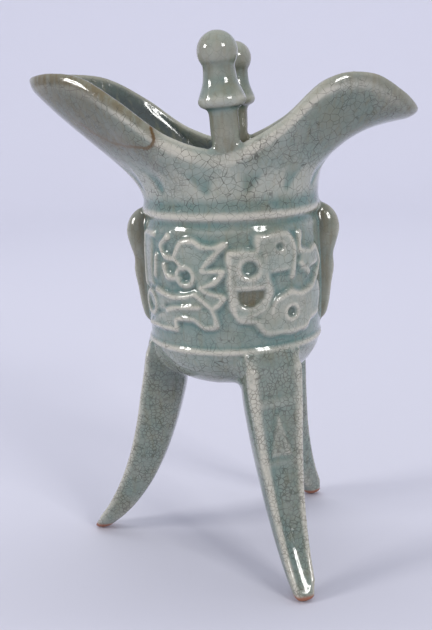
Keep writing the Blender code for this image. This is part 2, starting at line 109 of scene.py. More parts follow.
# Each row of an ear: height, reach from the axis and half width
EAR_PROFILE = np.array([(79.4, 28.6, 0.8), (81.0, 30.4, 1.5), (86.0, 31.8, 2.2), (92.0, 32.6, 2.4),
                        (97.5, 33.5, 2.7), (102.0, 33.3, 3.0), (106.0, 34.4, 3.9),
                        (110.5, 35.4, 3.9), (114.5, 34.6, 3.2), (117.4, 32.5, 2.2),
                        (119.2, 29.6, 1.3)])

# Each station down a leg: outer point, inner point, both as reach and height, and half width
LEG_STATIONS = [((29.3, 75.4), (17.0, 71.0), 9.8), ((30.6, 71.0), (17.0, 66.0), 9.8),
                ((31.6, 63.0), (17.4, 59.6), 9.5), ((32.9, 55.0), (19.0, 52.5), 8.9),
                ((34.9, 45.0), (22.0, 42.5), 7.9), ((38.0, 33.5), (26.2, 31.5), 6.7),
                ((42.2, 22.5), (31.6, 20.8), 5.6), ((47.2, 12.8), (38.4, 11.2), 4.7),
                ((52.4, 5.2), (45.2, 4.2), 4.0), ((55.4, 1.2), (48.6, 1.2), 3.5)]
# A leg's side, from its outer edge to its inner one, as shares of its depth and half width
LEG_SIDE = [(0.93, 0.985), (0.8, 1.0), (0.5, 0.95), (0.22, 0.80), (0.05, 0.55), (0.0, 0.2),
            (0.0, 0.0)]
LEG_ROWS = 150
LEG_WRAP = 3.0                  # the face follows the bowl's round down to this station
LEG_FOOT_REACH = 52.2
LEG_BORDER_DEPTH = 1.2
LEG_FACE_TILT = 0.5             # how much deeper the face is on one side, as a share of its depth
LEG_BAND_Z = 59.5
LEG_BAND_HEIGHT = 3.2
LEAF_TIP_Z = 56.4
LEAF_HEIGHT = 14.0
LEAF_HALF_WIDTH = 3.6
LEAF_PROUD = 0.4
SOLE_BEVEL = 1.7
BARE_FOOT = (0.0028, 0.0038)     # the glaze ends between these heights, in metres
# Each leg: azimuth at the hip, azimuth at the foot, and the foot's reach
LEGS = [(-61.0, -63.4, 48.5), (180.0, 172.6, 52.6), (60.0, 56.1, 44.0)]

# Carved belt: each stroke is a width in millimetres and a path in percent of a quarter turn and
# of the carving's height, and each ring a width, a centre and a radius
CARVING_FOOT_Z = 81.0
CARVING_HEIGHT = 32.0
CARVING_PROUD = 1.15
BEAST_PLATE = 0.55              # height of a plate, as a share of a stroke's
MASK_PLATE = 0.82
BEAST = [
    (1.9, [(56, 97), (49, 88), (53, 78), (63, 76), (70, 67)]),
    (1.9, [(63, 80), (68, 92), (78, 94), (84, 89), (92, 88), (99, 91)]),
    (1.9, [(99, 91), (89, 76), (84, 66), (98, 65), (92, 55), (83, 49), (89, 44), (98, 39),
           (90, 28)]),
    (1.9, [(78, 43), (90, 28), (92, 12), (84, 10), (76, 18), (62, 16), (61, 6), (42, 6),
           (27, 5)]),
    (2.2, [(54, 24), (63, 28), (81, 30)]),
    (1.9, [(42, 43), (52, 40), (61, 38), (69, 39), (78, 43)]),
    (2.2, [(52, 69), (55, 59), (66, 57)]),
    (1.9, [(43, 77), (41, 58)]),
    (1.9, [(24, 45), (22, 72), (24, 97), (40, 98)]),
]
BEAST_RINGS = [(1.9, (71, 60), 2.9), (1.9, (33, 28), 3.6)]
# Low plates between the strokes, and hollows sunk to the ground again, as outlines
BEAST_PLATES = [
    [(60, 78), (68, 91), (80, 93), (98, 90), (88, 74), (83, 66), (92, 63), (82, 48), (89, 43),
     (96, 38), (90, 28), (79, 42), (80, 56), (70, 68)],
    [(28, 40), (42, 43), (60, 38), (78, 43), (90, 29), (80, 29), (52, 24), (36, 22), (30, 30)],
    [(28, 5), (42, 6), (60, 6), (62, 16), (76, 18), (84, 10), (92, 12), (90, 27), (80, 29),
     (54, 24), (42, 18)],
    [(24, 46), (22, 72), (24, 96), (38, 97), (36, 60), (38, 46)],
]
BEAST_HOLLOWS = [[(51, 30), (60, 32), (74, 34), (74, 31.5), (60, 28.5), (52, 27)]]
MASK = [
    (2.4, [(3, 82), (3, 47), (5, 26), (10, 17), (20, 15), (26, 4), (38, 2), (60, 2), (66, 10),
           (77, 13)]),
    (2.4, [(3, 82), (21, 82), (23, 95), (44, 97), (50, 82), (48, 56)]),
    (3.0, [(27, 80), (27, 60), (29, 42), (26, 28), (18, 22), (10, 20)]),
    (2.4, [(5, 50), (27, 50)]),
    (2.2, [(31, 22), (33, 32), (46, 39), (56, 36), (70, 41), (82, 62), (75, 79), (66, 76),
           (55, 80), (56, 95)]),
    (2.2, [(56, 67), (65, 56)]),
]
MASK_RINGS = [(3.2, (16, 67), 3.6), (2.2, (47, 20), 2.5)]
MASK_PLATES = [
    [(3, 82), (27, 82), (28, 45), (26, 26), (18, 15), (10, 17), (5, 26), (3, 47)],
    [(23, 80), (23, 95), (44, 97), (50, 82), (48, 62), (30, 61), (27, 70)],
    [(18, 16), (26, 5), (38, 2), (60, 2), (66, 10), (80, 14), (84, 32), (80, 44), (70, 41),
     (56, 36), (46, 39), (33, 33), (28, 28)],
    [(56, 60), (66, 60), (80, 62), (74, 79), (66, 76), (56, 80)],
]
MASK_HOLLOWS = [[(7.5, 45.5), (26, 45.5), (25.2, 38.5), (22, 33), (17, 29.8), (12.5, 29.6), (9, 33),
                 (7.8, 39)],
                [(30, 58), (41, 58), (41, 42), (34, 38), (31, 42)]]
ROUND_HOLLOWS = [((16, 67), 2.3), ((47, 20), 1.6), ((38, 86), 1.2)]

# A rust line left by a run of glaze on the tail's front side, as azimuths in degrees and shares
# of the way up the flare
RUST_LINE = [(250.5, 1.0), (250.5, 0.93), (248.5, 0.83), (244.5, 0.74), (238, 0.66), (231, 0.60),
             (224.5, 0.575), (219, 0.585), (214.5, 0.63), (209, 0.72)]
RUST_REACH = 5.0                # distances to the line are kept up to this

# Mesh fineness
COLUMNS = 600
VOXEL = 0.43
TRIANGLES = 192_000
SKIN_PASSES = 3                 # relaxing the whole skin, to take off the voxels' steps
JOINT_PASSES = 110              # relaxing the joints, where glaze fills the corner
BLUR_PASSES = 14                # relaxing a copy, which shows where the skin bulges

# The body's axis lies off the frame's origin by this
AXIS = np.array(((TAIL_REACH - SPOUT_REACH) / 2,
                 -sum(math.sin(math.radians(leg[1])) * leg[2] for leg in (LEGS[0], LEGS[2])) / 2,
                 0.0))


def smooth(low, high, x):
    """0 below low, 1 above high, and a soft step between."""
    t = np.clip((x - low) / (high - low), 0.0, 1.0)
    return t * t * (3 - 2 * t)


def spline(points, places, closed=False):
    """Points on a smooth curve through the given ones; places count points from the first."""
    points = np.asarray(points, float)
    count = len(points)
    last = count if closed else count - 1
    i = np.minimum(places.astype(int), last - 1)
    t = (places - i)[:, None]

    def at(k):
        return points[k % count] if closed else points[np.clip(k, 0, count - 1)]

    p0, p1, p2, p3 = at(i - 1), at(i), at(i + 1), at(i + 2)
    return (2 * p1 + (p2 - p0) * t + (2 * p0 - 5 * p1 + 4 * p2 - p3) * t * t
            + (3 * p1 - p0 - 3 * p2 + p3) * t ** 3) / 2


def unit(v):
    return v / np.maximum(np.linalg.norm(v, axis=-1, keepdims=True), 1e-9)


# Marks, carried from the fine lofts to the finished mesh; rust is how far the rust line lies to
# one side or the other, and rusty is how strong it is there
# One mark paints shade: inside the cup, on the flares' outsides near their tips, at the ears' roots
MARKS = ("pool", "dark", "pale", "rust", "rusty", "olive", "crackle")


class Loft:
    """Closed rings of equal length, closed at both ends on a middle point, with marks."""

    def __init__(self, rings, marks=None):
        self.rings = np.asarray(rings, float)
        rows, count = self.rings.shape[:2]
        self.marks = {name: np.zeros((rows, count)) for name in MARKS}
        self.marks.update(marks or {})

    def arrays(self):
        rows, count = self.rings.shape[:2]
        ends = [self.rings[0].mean(0), self.rings[-1].mean(0)]
        verts = np.concatenate([self.rings.reshape(-1, 3), ends])
        i = np.arange(count)
        j = (i + 1) % count
        base = (np.arange(rows - 1) * count)[:, None]
        quads = np.stack([base + i, base + j, base + count + j, base + count + i], -1)
        top = (rows - 1) * count
        caps = [np.stack([j, i, np.full(count, rows * count)], -1),
                np.stack([top + i, top + j, np.full(count, rows * count + 1)], -1)]
        marks = np.stack([np.concatenate([self.marks[m].ravel(),
                                          [self.marks[m][0].mean(), self.marks[m][-1].mean()]])
                          for m in MARKS], -1)
        return verts, quads.reshape(-1, 4), np.concatenate(caps), marks


# Carving

def stroke_field(x, y, strokes, rings):
    """How high the carving stands, 0 to 1, over points of an unrolled quarter, in millimetres."""
    height = np.zeros_like(x)

    def add(distance, width):
        np.maximum(height, 1 - smooth(0.05 * width, 0.88 * width, distance), out=height)

    quarter = math.pi / 2 * BODY_RADIUS
    wobble = 1 + 0.2 * np.sin(0.8 * x + 0.5) * np.cos(0.9 * y)
    for width, shares in strokes:
        path = np.array(shares, float) / 100 * (quarter, CARVING_HEIGHT)
        fine = spline(path, np.linspace(0, len(path) - 1, 4 * (len(path) - 1) + 1))
        fine = fine * 0.55 + 0.45 * np.stack(
            [np.interp(np.linspace(0, len(path) - 1, len(fine)), np.arange(len(path)), path[:, k])
             for k in (0, 1)], -1)
        for a, b in zip(fine, fine[1:]):
            ab = b - a
            t = np.clip(((x - a[0]) * ab[0] + (y - a[1]) * ab[1]) / (ab @ ab), 0, 1)
            add(np.hypot(x - a[0] - t * ab[0], y - a[1] - t * ab[1]) * wobble, width)
    for width, centre, radius in rings:
        cx, cy = np.array(centre) / 100 * (quarter, CARVING_HEIGHT)
        add(np.abs(np.hypot(x - cx, y - cy) - radius), width)
    return height


def inside_outline(x, y, shares, soft):
    """1 inside an outline, easing to 0 across its edge."""
    points = np.array(shares, float) / 100 * (math.pi / 2 * BODY_RADIUS, CARVING_HEIGHT)
    inside = np.zeros(x.shape, bool)
    distance = np.full(x.shape, 1e9)
    for a, b in zip(points, np.roll(points, -1, 0)):
        ab = b - a
        t = np.clip(((x - a[0]) * ab[0] + (y - a[1]) * ab[1]) / (ab @ ab), 0, 1)
        distance = np.minimum(distance, np.hypot(x - a[0] - t * ab[0], y - a[1] - t * ab[1]))
        rise = ab[1] if abs(ab[1]) > 1e-9 else 1e-9
        inside ^= ((a[1] > y) != (b[1] > y)) & (x < a[0] + ab[0] * (y - a[1]) / rise)
    return 1 - smooth(-soft, soft, np.where(inside, -distance, distance))


def figure_field(x, y, strokes, rings, plates, plate, hollows, round_hollows):
    """Height of one quarter's figure: strokes over lower plates, less the hollows."""
    height = stroke_field(x, y, strokes, rings)
    low = np.zeros_like(x)
    for outline in plates:
        np.maximum(low, inside_outline(x, y, outline, 0.7), out=low)
    for outline in hollows:
        low *= 1 - inside_outline(x, y, outline, 0.5)
    height = np.maximum(height, plate * low) + (1 - plate) * 0.3 * height * low
    for centre, radius in round_hollows:
        cx, cy = np.array(centre) / 100 * (math.pi / 2 * BODY_RADIUS, CARVING_HEIGHT)
        height *= smooth(radius - 0.6, radius + 0.5, np.hypot(x - cx, y - cy))
    return height


def carving(azimuth, z):
    """Height of the carving and stain of its brown hollow, 0 to 1, at places of the belt."""
    height = np.zeros_like(azimuth)
    stain = np.zeros_like(azimuth)
    quarter = math.pi / 2
    figures = [(BEAST, BEAST_RINGS, BEAST_PLATES, BEAST_PLATE, BEAST_HOLLOWS, []),
               (MASK, MASK_RINGS, MASK_PLATES, MASK_PLATE, MASK_HOLLOWS, ROUND_HOLLOWS)]
    for turn in range(4):
        start = math.pi + turn * quarter
        along = (azimuth - start + quarter / 2) % (2 * math.pi) - quarter / 2
        near = (along < 1.5 * quarter) & (z > CARVING_FOOT_Z - 3)
        near &= z < CARVING_FOOT_Z + CARVING_HEIGHT + 3
        x, y = along[near] * BODY_RADIUS, z[near] - CARVING_FOOT_Z
        height[near] = np.maximum(height[near], figure_field(x, y, *figures[turn % 2]))
        if turn % 2:
            stain[near] = np.maximum(stain[near], inside_outline(x, y, MASK_HOLLOWS[0], 0.5))
    return height, stain


# Vessel

def belt_radius(z):
    """The belt swells a little between its ridges."""
    middle = (LOW_RIDGE_Z + TOP_RIDGE_Z) / 2
    share = np.clip((z - middle) / ((TOP_RIDGE_Z - LOW_RIDGE_Z) / 2), -1, 1)
    return BODY_RADIUS + BODY_BULGE * (1 - share * share)


def crest(z, middle, half):
    """1 in the middle, rounding off to 0 at half to each side."""
    return np.cos(np.clip((z - middle) / half, -1, 1) * math.pi / 2) ** 1.5


def ridges(z):
    """How far the two ridges stand out of the belt."""
    half = RIDGE_WIDTH / 2
    ease = 0.42 * crest(z, TOP_RIDGE_Z, UPPER_FLANK)
    ease = ease + 0.58 * (1 - smooth(0, NECK_EASE, z - TOP_RIDGE_Z))
    top = np.where(z > TOP_RIDGE_Z, ease, crest(z, TOP_RIDGE_Z, half))
    return RIDGE_PROUD * (top + crest(z, LOW_RIDGE_Z, half))


def ridge_paleness(z):
    return crest(z, TOP_RIDGE_Z + 0.1, 1.9) + crest(z, LOW_RIDGE_Z, 1.6)


def groove(z):
    """How deep the soft groove is below the upper ridge."""
    return GROOVE_DEPTH * np.cos(np.clip((z - GROOVE_Z) / GROOVE_HALF, -1, 1) * math.pi / 2) ** 2


def bottom_profile(start, depth, radius, shares):
    """Radius and height of a bowl's bottom, from its middle to its side."""
    points = np.array([(0.0, 0.0)] + shares + [(1.0, 1.0)]) * (radius, depth) + (0, start)
    return spline(points, np.linspace(0.15, len(points) - 1, 26))


def outer_bottom():
    return bottom_profile(BOTTOM_Z, LOW_RIDGE_Z - RIDGE_WIDTH / 2 - BOTTOM_Z, BODY_RADIUS,
                          OUTER_BOTTOM)


def lip_points():
    """Points round the lip, from the spout's tip over the rear side and the tail."""
    def point(reach, rise, s):
        return (s[0] * reach, s[1] * MOUTH_HALF_WIDTH, RIM_LOW_Z + s[2] * rise)

    half = [point(SPOUT_REACH, SPOUT_RISE, s) for s in SPOUT_LIP]
    half.append((0.0, MOUTH_HALF_WIDTH, RIM_LOW_Z))
    half += [point(-TAIL_REACH, TAIL_RISE, s) for s in reversed(TAIL_LIP)]
    return np.array(half + [(x, -y, z) for x, y, z in reversed(half[1:-1])])


def flare(lip, azimuth, share):
    """Middle of the flare's wall at a share of the way from the neck to the lip."""
    radius = BODY_RADIUS - WALL / 2
    start = np.stack([radius * np.cos(azimuth), radius * np.sin(azimuth),
                      np.full_like(azimuth, NECK_Z)], -1)
    end = spline(lip, azimuth / (2 * math.pi) % 1.0 * len(lip), closed=True)
    way = end - start
    along = np.cos(azimuth)
    goal = np.where(along[:, None] > 0, SPOUT_CURVE, TAIL_CURVE)
    side = SIDE_CURVE + (TAIL_SIDE_CURVE - SIDE_CURVE) * smooth(0.0, 0.35, -along)[:, None]
    pull = side + (goal - side) * (np.abs(along) ** 8)[:, None]
    first = start + np.stack([0 * along, 0 * along, pull[:, 0] * way[:, 2]], -1)
    second = end - np.stack([pull[:, 1] * way[:, 0], pull[:, 1] * way[:, 1],
                             pull[:, 2] * way[:, 2]], -1)
    t = share
    return (start * (1 - t) ** 3 + first * 3 * t * (1 - t) ** 2
            + second * 3 * t * t * (1 - t) + end * t ** 3)


def flare_wall(lip, azimuth, share):
    """Middle of the wall, its normal to the outside and its direction towards the lip."""
    nudge = 0.004
    around = flare(lip, azimuth + nudge, share) - flare(lip, azimuth - nudge, share)
    outward = (flare(lip, azimuth, min(1, share + nudge))
               - flare(lip, azimuth, max(0, share - nudge)))
    return flare(lip, azimuth, share), unit(np.cross(around, outward)), unit(outward)


def lip_roll(past):
    """Share of the wall's half thickness that is left outside, past the start of the roll."""
    return (1 - np.clip(past / LIP_ROLL, 0, 1) ** 1.5) ** (2 / 3)


def rust_path(lip):
    """The rust line, as points on the outside of the flare."""
    path = []
    for azimuth, share in spline(RUST_LINE, np.linspace(0, len(RUST_LINE) - 1, 120)):
        middle, normal, _ = flare_wall(lip, np.radians([azimuth]), min(share, 1.0))
        path.append((middle + normal * WALL / 2)[0])
    return np.array(path)


def rust_marks(points, normals, path):
    """How far points lie to one side of the rust line, and how strong the line is there."""
    away = np.linalg.norm(points[:, None] - path, axis=-1)
    near = away.argmin(1)
    along = unit(np.gradient(path, axis=0))[near]
    aside = (np.cross(along, points - path[near]) * normals).sum(-1)
    strength = (1 - smooth(1.5, 4.0, away.min(1))) * (1 - 0.55 * near / len(path))
    return np.clip(aside, -RUST_REACH, RUST_REACH), strength


def stained_lip(azimuth):
    """Where the lip is stained olive: along the tail's front side above all."""
    turn = np.degrees(azimuth) % 360
    return smooth(192, 206, turn) * (1 - smooth(246, 256, turn))


def lappet_gap(azimuth, z):
    """1 in the wedges between the lappets, which are wide at the top and close at the foot."""
    up = (z - LAPPET_FOOT_Z) / (LAPPET_HEIGHT + LAPPET_RISE * np.cos(azimuth) ** 2)
    turn = np.degrees(azimuth)
    off = np.min([np.abs((turn - gap + 180) % 360 - 180) for gap in LAPPET_GAPS], 0)
    half = 1.5 + 6.5 * np.clip(up, 0, 1)
    inside = 1 - smooth(half - 2.5, half + 2.5, off)
    return inside * smooth(-0.05, 0.2, up) * (1 - smooth(0.45, 1.0, up))


def neck_band(z):
    """1 in the sunk band between the upper ridge and the lappets."""
    top = TOP_RIDGE_Z + RIDGE_WIDTH / 2
    return smooth(top - 0.4, top + 0.6, z) * (1 - smooth(top + NECK_BAND_HEIGHT - 2.4,
                                                         top + NECK_BAND_HEIGHT + 0.4, z))


def make_vessel():
    """The bowl and the flaring mouth: up the outside, over the lip and down the inside."""
    azimuth = np.arange(COLUMNS) * 2 * math.pi / COLUMNS
    rings, marks = [], {name: [] for name in MARKS}

    def put(points, **given):
        rings.append(points)
        for name in MARKS:
            marks[name].append(np.broadcast_to(given.get(name, 0.0), azimuth.shape))

    def lathe(radius, z):
        radius = np.broadcast_to(radius, azimuth.shape)
        return np.stack([radius * np.cos(azimuth), radius * np.sin(azimuth),
                         np.full_like(azimuth, z)], -1)

    for r, z in outer_bottom():
        put(lathe(r, z), crackle=0.55, pool=0.05, pale=0.12)
    belt = np.arange(LOW_RIDGE_Z - RIDGE_WIDTH / 2 + 0.3, NECK_Z, 0.3)
    wave = 0.12 * np.sin(3 * azimuth + 0.8) + 0.08 * np.sin(7 * azimuth)
    for z in belt:
        height, stain = carving(azimuth, np.full_like(azimuth, z))
        band = neck_band(z)
        in_belt = smooth(LOW_RIDGE_Z, LOW_RIDGE_Z + 2, z)
        in_belt *= 1 - smooth(TOP_RIDGE_Z - 2, TOP_RIDGE_Z, z)
        radius = (belt_radius(z) + ridges(z) - groove(z) + height * CARVING_PROUD
                  - NECK_BAND_DEPTH * band + wave * in_belt * 0.5)
        put(lathe(radius, z), pool=np.maximum(band, 0.56 * (1 - height) * in_belt),
            pale=0.42 * height + 0.82 * ridge_paleness(z), olive=0.9 * stain, crackle=0.35)

    lip = lip_points()
    rust = rust_path(lip)
    edge = flare(lip, azimuth, 1.0)
    inner = []
    for share in np.linspace(0, 1, 76):
        middle, normal, outward = flare_wall(lip, azimuth, share)
        gap = lappet_gap(azimuth, middle[:, 2])
        band = neck_band(middle[:, 2])
        near_lip = smooth(0.86, 1.0, share)
        stain = stained_lip(azimuth)
        to_edge = np.linalg.norm(edge - middle, axis=-1)
        roll = lip_roll(LIP_ROLL - WALL / 2 - to_edge)
        top = 1 - smooth(0.6, 2.4, to_edge)
        lip_olive = 0.12 + 0.48 * smooth(0.15, 0.6, np.abs(np.cos(azimuth))) + 0.4 * stain
        side = 1 - np.cos(azimuth) ** 2
        far = smooth(0.30, 0.62, share) * smooth(0.25, 0.7, np.abs(np.cos(azimuth)))
        face = (smooth(NECK_Z + 2, NECK_Z + 5, middle[:, 2]) * (1 - gap) * (1 - far)
                * (1 - smooth(NECK_Z + 10, NECK_Z + 14, middle[:, 2])))
        strip = (1 - smooth(2.6, 4.6, to_edge)) * smooth(0.1, 0.8, side)
        surface = middle + normal * (WALL / 2 * roll + ridges(middle[:, 2]))[:, None]
        aside, rusty = rust_marks(surface, normal, rust)
        # Near the flares' tips the outsides are darkened by pooled glaze and by painted shade where
        # they face down, most under the tail
        put(surface - normal * (LAPPET_DEPTH * gap + NECK_BAND_DEPTH * band)[:, None],
            pool=np.maximum(np.maximum(gap, band), 0.75 * far) * (1 - smooth(0.8, 1.0, share)),
            pale=face * 0.5 + strip * 0.95,
            olive=np.maximum(np.maximum(top * lip_olive, 0.2 * strip), (0.35 + 0.3 * stain) * far),
            dark=far * (0.12 + 0.3 * smooth(0, 0.3, -np.cos(azimuth))),
            rust=aside, rusty=rusty, crackle=0.6 - 0.15 * far)
        inner.append((middle - normal * WALL / 2, near_lip))
        if share == 1.0:
            for past in np.linspace(LIP_ROLL - WALL / 2, LIP_ROLL, 9)[1:]:
                put(middle + normal * WALL / 2 * lip_roll(past)
                    + outward * (past - LIP_ROLL + WALL / 2),
                    olive=lip_olive, rust=aside, rusty=rusty, crackle=0.15)
            for turn in np.linspace(0.5, 1.0, 6)[1:-1] * math.pi:
                put(middle + (normal * math.cos(turn) + outward * math.sin(turn)) * WALL / 2,
                    olive=lip_olive, crackle=0.15)
    # The inside, with painted shade all the way down and less of it near the lip
    for points, near_lip in inner[::-1]:
        put(points, pool=0.9, dark=1 - 0.5 * near_lip, olive=0.3 * near_lip, crackle=0.35)
    for z in np.arange(NECK_Z - 0.6, LOW_RIDGE_Z, -0.6):
        put(lathe(belt_radius(z) - WALL, z), pool=1.0, dark=1.0, crackle=0.4)
    radius = BODY_RADIUS - WALL
    for r, z in bottom_profile(BOTTOM_Z + FLOOR, LOW_RIDGE_Z - BOTTOM_Z - FLOOR - 0.6, radius,
                               INNER_BOTTOM)[::-1]:
        put(lathe(r, z), pool=1.0, dark=0.8, crackle=0.4)
    return Loft(np.array(rings), {name: np.array(marks[name]) for name in MARKS})


# Posts, ears and legs

def make_post(side, shift, lean, scale):
    """A stem with a bell and a ball on it, lathed and set on the mouth's waist."""
    arc = np.radians(np.linspace(88, -38, 30))
    ball = np.stack([POST_BALL_RADIUS * np.cos(arc), POST_BALL_RADIUS * (np.sin(arc) - 1)], -1)
    cap = -POST_CAP_HEIGHT
    bell = [tuple(ball[-1]), (POST_WAIST_RADIUS, cap * 0.54),
            (POST_WAIST_RADIUS + 0.45, cap * 0.68),
            (POST_CAP_RADIUS - 0.7, cap * 0.82), (POST_CAP_RADIUS, cap * 0.915),
            (POST_CAP_RADIUS - 0.8, cap * 0.985), (POST_STEM_RADIUS + 0.5, cap - 0.5),
            (POST_STEM_RADIUS, cap - 2.0)]
    foot = RIM_LOW_Z - POST_TOP_Z
    stem = [(POST_STEM_RADIUS, foot + 3.0), (POST_STEM_RADIUS * 0.8, foot + 0.6),
            (WALL * 0.4, foot - 1.0)]
    profile = np.concatenate([ball[:-1], spline(bell, np.linspace(0, 7, 60)),
                              spline([bell[-1]] + stem, np.linspace(0.05, 3, 40))])
    turn = np.arange(POST_COLUMNS) * 2 * math.pi / POST_COLUMNS
    z = (profile[:, 1] - foot) * scale
    r = profile[:, 0] * scale
    x, y = r[:, None] * np.cos(turn), r[:, None] * np.sin(turn)
    z = np.repeat(z[:, None], POST_COLUMNS, 1)
    rings = np.stack([x * math.cos(lean) + z * math.sin(lean) + shift,
                      y + side * (MOUTH_HALF_WIDTH - POST_INSET * (1 + POST_SPREAD * z / foot)),
                      z * math.cos(lean) - x * math.sin(lean) + RIM_LOW_Z], -1)
    shape = rings.shape[:2]
    below = np.repeat(profile[:, 1][:, None], POST_COLUMNS, 1)
    stained = smooth(cap, cap - 3, below)
    ball = 1 - smooth(1.6, 2.4, -below / POST_BALL_RADIUS)
    return Loft(rings, {"pale": 0.2 * stained, "pool": 0.95 * (1 - stained) * (1 - 0.6 * ball),
                        "olive": 0.2 + 0.4 * stained + 0.25 * ball,
                        "crackle": np.full(shape, 0.15)})


def make_ear(side):
    """A rounded fin on the belt, with painted shade along its root."""
    root = BODY_RADIUS - EAR_SINK
    fine = spline(EAR_PROFILE, np.linspace(0, len(EAR_PROFILE) - 1, 90))
    turn = np.radians(np.linspace(-118, 118, 48))
    rings = []
    for z, reach, half in fine:
        depth = (reach - root) * 0.66
        x = reach - depth * (1 - np.cos(turn))
        rings.append(np.stack([side * x, side * half * np.sin(turn), np.full_like(x, z)], -1))
    shape = (len(rings), len(rings[0]))
    edge = np.broadcast_to(1 - smooth(0.2, 1.1, np.abs(turn)), shape)
    # The ear's side towards the body, darkened with painted shade in the crease where it meets the
    # belt
    root_shade = np.broadcast_to(smooth(1.15, 1.75, np.abs(turn)), shape)
    return Loft(rings, {"olive": 0.62 - 0.2 * edge, "crackle": np.full(shape, 0.2),
                        "pale": 0.3 * edge, "pool": np.full(shape, 0.2),
                        "dark": 0.8 * root_shade})


def make_leg(hip, foot, foot_reach):
    """A blade leg that curves outward, with a bordered face and a small flat sole."""
    last = len(LEG_STATIONS) - 1
    place = np.linspace(0, last, LEG_ROWS)
    outer = spline([o for o, i, w in LEG_STATIONS], place)
    inner = spline([(*i, w) for o, i, w in LEG_STATIONS], place)
    share = place / last
    azimuth = np.radians(hip + (foot - hip) * share)
    shift = (foot_reach - LEG_FOOT_REACH) * share ** 2
    out = np.stack([np.cos(azimuth), np.sin(azimuth), 0 * azimuth], -1)
    across = np.stack([-np.sin(azimuth), np.cos(azimuth), 0 * azimuth], -1)
    up = np.array((0.0, 0.0, 1.0))
    edge = out * (outer[:, :1] + shift[:, None]) + up * outer[:, 1:]
    back = out * (inner[:, :1] + shift[:, None]) + up * inner[:, 1:2]
    half = inner[:, 2]
    ahead = unit(edge - back)
    wrap = np.clip(1 - place / LEG_WRAP, 0, 1)

    # The face: a sunk field between two borders, with a band and a leaf on it
    w = np.linspace(-0.94, 0.94, 61)
    off = half[:, None] * w
    depth = (LEG_BORDER_DEPTH * np.minimum(1, np.minimum((1 - share) * 4, share * 4)))[:, None]
    border = smooth(0.48, 0.82, np.abs(w))[None, :]
    z = outer[:, 1][:, None]
    band = (1 - smooth(0.15, 0.75, np.abs(z - LEG_BAND_Z) / LEG_BAND_HEIGHT)) * 0.22
    down = (LEAF_TIP_Z - z) / LEAF_HEIGHT
    leaf = 1 - smooth(-0.5, 0.5, np.abs(off) - LEAF_HALF_WIDTH * np.clip(down, 0, 1))
    leaf = leaf * smooth(0.0, 0.1, down) * (1 - smooth(0.94, 1.02, down))
    line = np.exp(-((down - 1.12) / 0.07) ** 2) * 0.3
    depth = depth * (1 - LEG_FACE_TILT * w) * (1.15 - 0.75 * np.minimum(1, np.abs(w) / 0.7) ** 2)
    proud = -depth * (1 - border) * (1 - band) + (1 - border) * (LEAF_PROUD * leaf + line)
    proud = proud - 0.5 * smooth(0.78, 0.94, np.abs(w)) ** 2
    fall = BODY_RADIUS - np.sqrt(BODY_RADIUS ** 2 - off ** 2)
    face = (edge[:, None] + across[:, None] * off[..., None]
            + ahead[:, None] * (proud - wrap[:, None] * fall)[..., None])

    # The sides and the thin inner edge
    side = spline(LEG_SIDE, np.linspace(0, len(LEG_SIDE) - 1, 36))[:-1]
    loop = np.concatenate([side, [(0.0, 0.0)], side[::-1] * (1, -1)])
    body = (back[:, None] + (edge - back)[:, None] * loop[:, :1]
            + across[:, None] * (half[:, None] * loop[:, 1])[..., None])
    rings = np.concatenate([face, body], 1)
    below_ridge = smooth(0.02, 0.08, share)[:, None]
    raised = np.concatenate([border ** 2 * below_ridge * 0.68 + 0.25 * leaf + 1.3 * band,
                             np.zeros(body.shape[:2])], 1)
    sunk = np.concatenate([(1 - border) * (1 - 0.6 * leaf) * np.ones_like(off) * 0.34,
                           np.full(body.shape[:2], 0.45)], 1)

    # The sole: a bevel, then flat on the ground
    middle = rings[-1].mean(0)
    sole = []
    for t in np.linspace(0.1, 1, 6):
        ring = middle + (rings[-1] - middle) * (1 - SOLE_BEVEL / half[-1] * t ** 2)
        ring[:, 2] = rings[-1][:, 2] * (1 - t)
        sole.append(ring)
    rings = np.concatenate([rings, sole])
    grow = ((0, len(sole)), (0, 0))
    return Loft(rings, {"pale": np.pad(raised, grow, "edge"), "pool": np.pad(sunk, grow, "edge"),
                        "olive": np.full(rings.shape[:2], 0.16),
                        "crackle": np.full(rings.shape[:2], 1.0)})


# Melting the lofts into one glazed piece

def new_mesh(name, verts, faces):
    mesh = bpy.data.meshes.new(name)
    mesh.from_pydata(verts, [], faces)
    mesh.update()
    return mesh


def with_modifier(mesh, kind, **settings):
    """A new mesh: the given one with one modifier applied."""
    thing = bpy.data.objects.new("work", mesh)
    bpy.context.scene.collection.objects.link(thing)
    modifier = thing.modifiers.new("work", kind)
    for name, value in settings.items():
        setattr(modifier, name, value)
    graph = bpy.context.evaluated_depsgraph_get()
    made = bpy.data.meshes.new_from_object(thing.evaluated_get(graph))
    bpy.data.objects.remove(thing, do_unlink=True)
    return made


def positions(mesh):
    co = np.empty(len(mesh.vertices) * 3, np.float32)
    mesh.vertices.foreach_get("co", co)
    return co.reshape(-1, 3).astype(float)


def edges_of(mesh):
    pairs = np.empty(len(mesh.edges) * 2, np.int32)
    mesh.edges.foreach_get("vertices", pairs)
    return pairs.reshape(-1, 2)


def vertex_normals(mesh):
    normals = np.empty(len(mesh.vertices) * 3, np.float32)
    mesh.vertex_normals.foreach_get("vector", normals)
    return normals.reshape(-1, 3).astype(float)


def relax(co, pairs, weight, passes):
    """Move each point towards the middle of its neighbours, by its weight, several times."""
    count = len(co)
    a, b = pairs.T
    degree = np.bincount(a, minlength=count) + np.bincount(b, minlength=count)
    weight = np.broadcast_to(weight, (count,))[:, None]
    for _ in range(passes):
        mean = np.stack([(np.bincount(a, co[b, k], count) + np.bincount(b, co[a, k], count))
                         / degree for k in range(3)], -1)
        co = co + (mean - co) * weight
    return co


